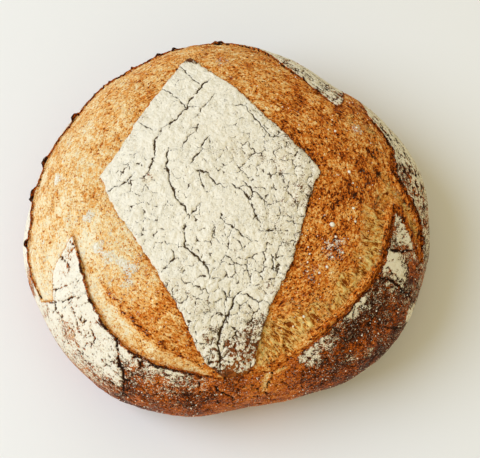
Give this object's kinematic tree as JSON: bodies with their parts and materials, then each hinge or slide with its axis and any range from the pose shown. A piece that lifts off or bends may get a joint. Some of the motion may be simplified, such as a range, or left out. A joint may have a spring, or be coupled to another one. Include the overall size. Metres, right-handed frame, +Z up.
{
  "type": "country loaf",
  "caption": "Round hearth-baked country loaf with a flour-dusted kite-shaped panel on the crown, opened slashes round it, raised ears and a flat base to stand on.",
  "frame": {"origin": "middle of the loaf's box at the flat base, on the surface that it stands on", "axes": "+Z up out of the crown, -Y the loaf's front, where the panel runs down into the rim, +X the loaf's right"},
  "size_m": [0.2568, 0.2466, 0.1082],
  "materials": {
    "crust": "baked crust, golden to red-brown, dusted with pale flour, matt with a faint gloss on the ears"
  },
  "bodies": {
    "root": {"loaf": "crust"}
  },
  "joints": []
}
